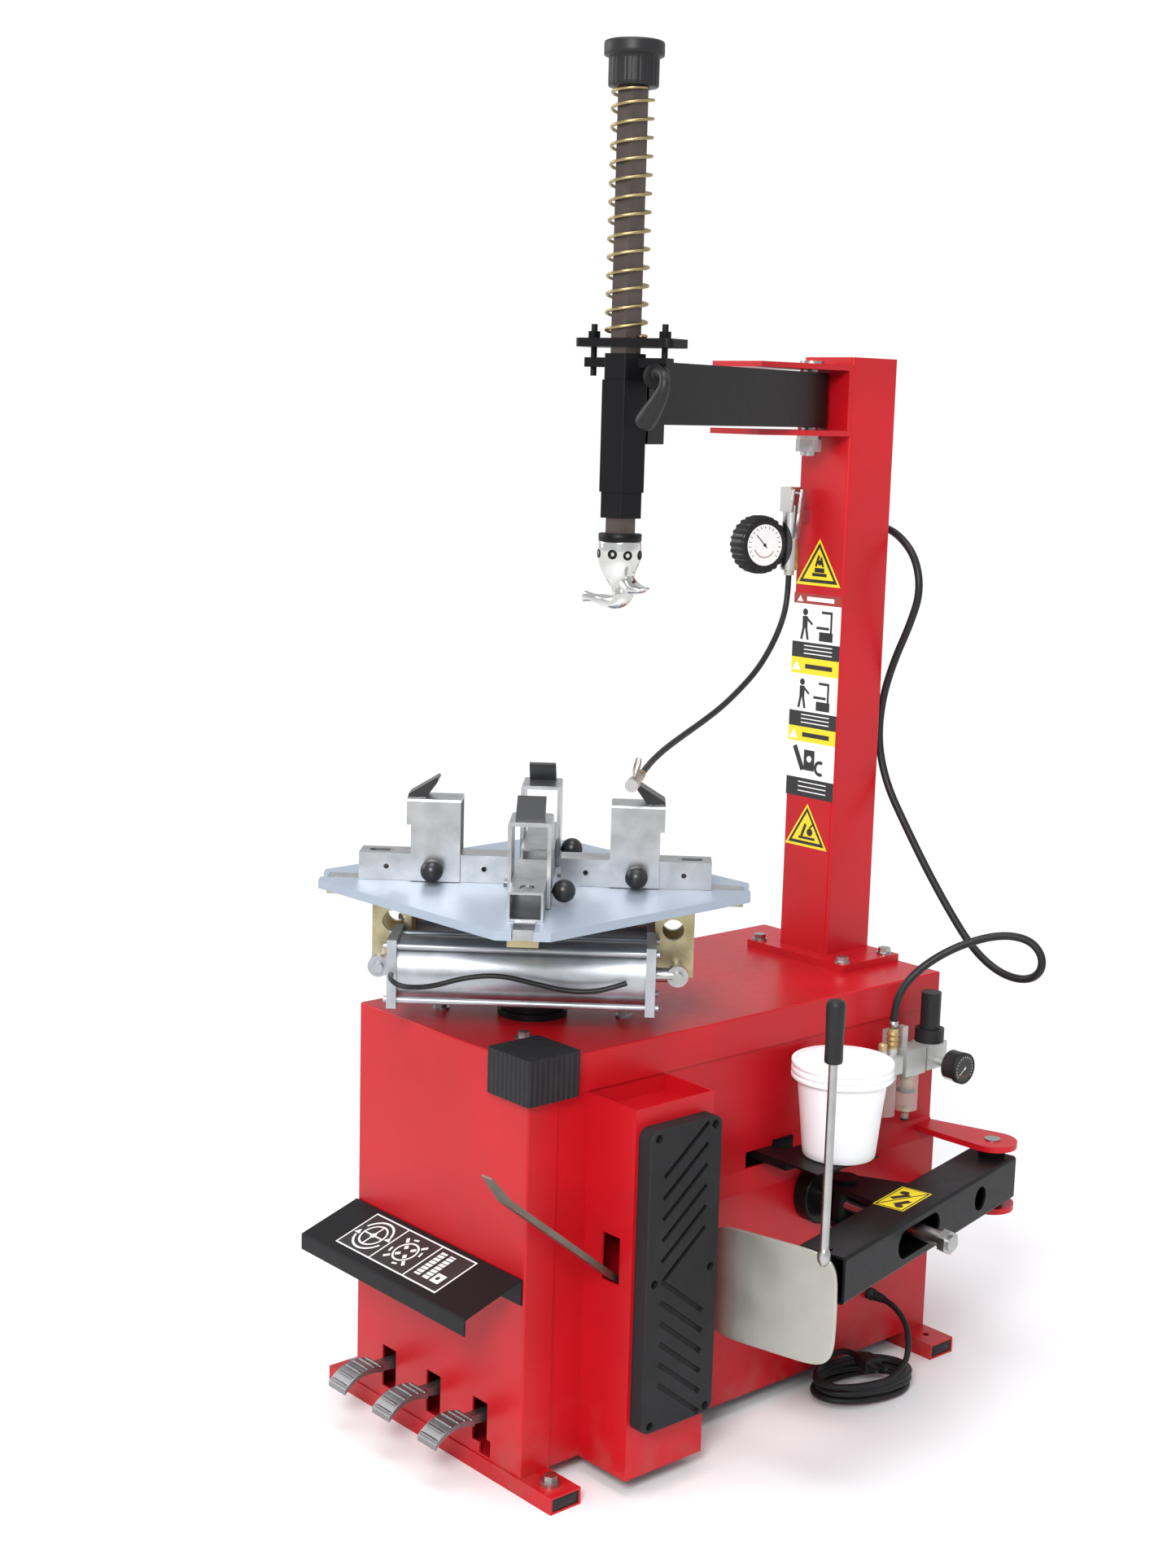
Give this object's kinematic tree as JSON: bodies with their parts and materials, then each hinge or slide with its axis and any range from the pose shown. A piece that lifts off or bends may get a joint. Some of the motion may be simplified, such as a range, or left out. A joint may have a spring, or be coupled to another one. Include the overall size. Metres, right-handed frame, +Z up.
{
  "type": "tire changer",
  "caption": "swing-arm tire changer with a four-jaw turntable over a steel cabinet, a side bead breaker with a blade, foot pedals, an air treatment unit, an inflator and a grease bucket",
  "frame": {"origin": "on the floor, under the turntable's spindle axis", "axes": "+Z up, -Y toward the operator and the pedals, +X toward the bead breaker"},
  "size_m": [0.712, 0.9646, 1.883],
  "materials": {
    "red_paint": "semi-gloss baked red paint",
    "grey_paint": "semi-gloss grey paint",
    "black_paint": "satin black paint",
    "black_rubber": "matte black rubber",
    "black_plastic": "satin black plastic",
    "white_plastic": "matte white plastic",
    "zinc": "bright zinc plating",
    "steel": "bare machined steel",
    "chromed": "hard chrome",
    "cast_aluminium": "as cast",
    "cylinder_tube": "clear anodised",
    "cast_iron": "painted cast iron",
    "dark_steel": "dark ground steel bar",
    "yellow_zinc": "yellow zinc plating"
  },
  "bodies": {
    "cabinet": {"foot_rails": "red_paint", "fixing_bolts": "zinc", "cabinet_shell": "red_paint", "front_panel": "red_paint", "top_cover": "red_paint", "pad_tower": "red_paint", "bead_pad": "black_rubber", "corner_block": "black_rubber", "pedal_guard": "black_paint", "pedal_axle": "steel", "column": "red_paint", "rotary_coupling": "black_paint", "gearbox_case": "cast_iron", "motor": "black_paint", "drive_belt": "black_rubber", "breaker_lugs": "red_paint", "breaker_cylinder": "black_paint", "air_unit": "cast_aluminium", "bucket_holder": "black_paint", "inflator": "black_plastic", "inflator_hose": "black_rubber", "supply_hose": "black_rubber", "power_cord": "black_rubber", "cord_hank": "black_rubber", "cord_gland": "black_plastic", "mains_plug": "black_plastic"},
    "left_pedal": {"pedal_left": "cast_aluminium"},
    "middle_pedal": {"pedal_middle": "cast_aluminium"},
    "right_pedal": {"pedal_right": "cast_aluminium"},
    "lever": {"tyre_lever": "zinc"},
    "arm": {"swing_arm": "black_paint", "clamp_plate": "black_paint"},
    "lock": {"lock_lever": "black_paint"},
    "shaft": {"hexagon_shaft": "dark_steel", "shaft_spring": "yellow_zinc", "shaft_cap": "black_plastic", "mount_head": "steel"},
    "turntable": {"turntable_plate": "grey_paint", "spindle": "steel"},
    "worm": {"worm_shaft": "steel"},
    "rotor": {"motor_pulley": "steel"},
    "left_jaw": {"left_guide": "zinc", "clamp_cylinders": "cylinder_tube", "cylinder_tube": "black_plastic"},
    "right_jaw": {"right_guide": "zinc", "clamp_rods": "chromed"},
    "near_jaw": {"near_guide": "zinc"},
    "far_jaw": {"far_guide": "zinc"},
    "left_claw": {"left_carriage": "zinc"},
    "right_claw": {"right_carriage": "zinc"},
    "near_claw": {"near_carriage": "zinc"},
    "far_claw": {"far_carriage": "zinc"},
    "breaker": {"breaker_arm": "black_paint"},
    "swivel": {"breaker_swivel": "black_paint"},
    "ram": {"breaker_rod": "chromed"},
    "blade": {"breaker_blade": "zinc"},
    "regulator": {"regulator_knob": "black_plastic"},
    "grease_bucket": {"bucket": "white_plastic"},
    "grease_lid": {"bucket_lid": "white_plastic"},
    "trigger": {"inflator_trigger": "steel"}
  },
  "joints": [
    {"name": "turntable_spin", "type": "hinge", "parent": "cabinet", "child": "turntable", "pos_m": [0, 0, 0.7], "axis": [0, 0, 1], "continuous": true},
    {"name": "worm_spin", "type": "hinge", "parent": "cabinet", "child": "worm", "pos_m": [-0.078, 0, 0.516], "axis": [0, 1, 0], "continuous": true},
    {"name": "motor_spin", "type": "hinge", "parent": "cabinet", "child": "rotor", "pos_m": [-0.072, 0, 0.262], "axis": [0, 1, 0], "continuous": true},
    {"name": "left_jaw_slide", "type": "slide", "parent": "turntable", "child": "left_jaw", "axis": [-0.682, -0.7314, 0], "range_m": [0, 0.11]},
    {"name": "right_jaw_slide", "type": "slide", "parent": "turntable", "child": "right_jaw", "axis": [0.682, 0.7314, 0], "range_m": [0, 0.11]},
    {"name": "near_jaw_slide", "type": "slide", "parent": "turntable", "child": "near_jaw", "axis": [0.7314, -0.682, 0], "range_m": [0, 0.11]},
    {"name": "far_jaw_slide", "type": "slide", "parent": "turntable", "child": "far_jaw", "axis": [-0.7314, 0.682, 0], "range_m": [0, 0.11]},
    {"name": "left_claw_slide", "type": "slide", "parent": "left_jaw", "child": "left_claw", "axis": [-0.682, -0.7314, 0], "range_m": [-0.06, 0.06]},
    {"name": "right_claw_slide", "type": "slide", "parent": "right_jaw", "child": "right_claw", "axis": [0.682, 0.7314, 0], "range_m": [-0.06, 0.06]},
    {"name": "near_claw_slide", "type": "slide", "parent": "near_jaw", "child": "near_claw", "axis": [0.7314, -0.682, 0], "range_m": [-0.06, 0.06]},
    {"name": "far_claw_slide", "type": "slide", "parent": "far_jaw", "child": "far_claw", "axis": [-0.7314, 0.682, 0], "range_m": [-0.06, 0.06]},
    {"name": "arm_swing", "type": "hinge", "parent": "cabinet", "child": "arm", "pos_m": [0, 0.514, 1.454], "axis": [0, 0, 1], "range_deg": [-17, 72]},
    {"name": "shaft_slide", "type": "slide", "parent": "arm", "child": "shaft", "axis": [0, 0, 1], "range_m": [-0.17, 0], "deforming": ["shaft_spring"]},
    {"name": "lock_lever_turn", "type": "hinge", "parent": "arm", "child": "lock", "pos_m": [0.22516, -0.01057, 1.474], "axis": [0.3007, -0.9537, 0], "range_deg": [0, 80]},
    {"name": "left_pedal_hinge", "type": "hinge", "parent": "cabinet", "child": "left_pedal", "pos_m": [-0.104, -0.046, 0.08], "axis": [1, 0, 0], "range_deg": [0, 8], "stiffness_Nm_per_rad": 5, "springref_deg": -8.59},
    {"name": "middle_pedal_hinge", "type": "hinge", "parent": "cabinet", "child": "middle_pedal", "pos_m": [0, -0.046, 0.08], "axis": [1, 0, 0], "range_deg": [0, 8], "stiffness_Nm_per_rad": 5, "springref_deg": -8.59},
    {"name": "right_pedal_hinge", "type": "hinge", "parent": "cabinet", "child": "right_pedal", "pos_m": [0.104, -0.046, 0.08], "axis": [1, 0, 0], "range_deg": [0, 8], "stiffness_Nm_per_rad": 5, "springref_deg": -8.59},
    {"name": "lever_slide", "type": "slide", "parent": "cabinet", "child": "lever", "axis": [0, -0.7848, 0.6198], "range_m": [0, 0.12]},
    {"name": "breaker_swing", "type": "hinge", "parent": "cabinet", "child": "breaker", "pos_m": [0.311, 0.654, 0.307], "axis": [0, 0, 1], "range_deg": [0, 16]},
    {"name": "swivel_turn", "type": "hinge", "parent": "breaker", "child": "swivel", "pos_m": [0.25667, 0.38364, 0.308], "axis": [0, 0, 1], "range_deg": [-16, 0]},
    {"name": "ram_slide", "type": "slide", "parent": "cabinet", "child": "ram", "axis": [1, 0, 0], "range_m": [-0.08, 0]},
    {"name": "blade_turn", "type": "hinge", "parent": "breaker", "child": "blade", "pos_m": [0.41942, 0.16897, 0.307], "axis": [0, 0, 1], "range_deg": [-8, 6]},
    {"name": "regulator_turn", "type": "hinge", "parent": "cabinet", "child": "regulator", "pos_m": [0.228, 0.593, 0.54], "axis": [0, 0, 1], "range_deg": [0, 300]},
    {"name": "bucket_lift", "type": "slide", "parent": "cabinet", "child": "grease_bucket", "axis": [0, 0, 1], "range_m": [0, 0.08]},
    {"name": "lid_lift", "type": "slide", "parent": "grease_bucket", "child": "grease_lid", "axis": [0, 0, 1], "range_m": [0, 0.1]},
    {"name": "trigger_squeeze", "type": "hinge", "parent": "cabinet", "child": "trigger", "pos_m": [-0.015, 0.522, 1.315], "axis": [1, 0, 0], "range_deg": [-8, 0], "stiffness_Nm_per_rad": 0.2, "springref_deg": 5.73}
  ],
  "couplings": [
    {"joint": "right_jaw_slide", "follows": "left_jaw_slide", "ratio": 1},
    {"joint": "near_jaw_slide", "follows": "left_jaw_slide", "ratio": 1},
    {"joint": "far_jaw_slide", "follows": "left_jaw_slide", "ratio": 1},
    {"joint": "worm_spin", "follows": "turntable_spin", "ratio": 40},
    {"joint": "motor_spin", "follows": "turntable_spin", "ratio": 76.8},
    {"joint": "swivel_turn", "follows": "breaker_swing", "ratio": -1}
  ]
}
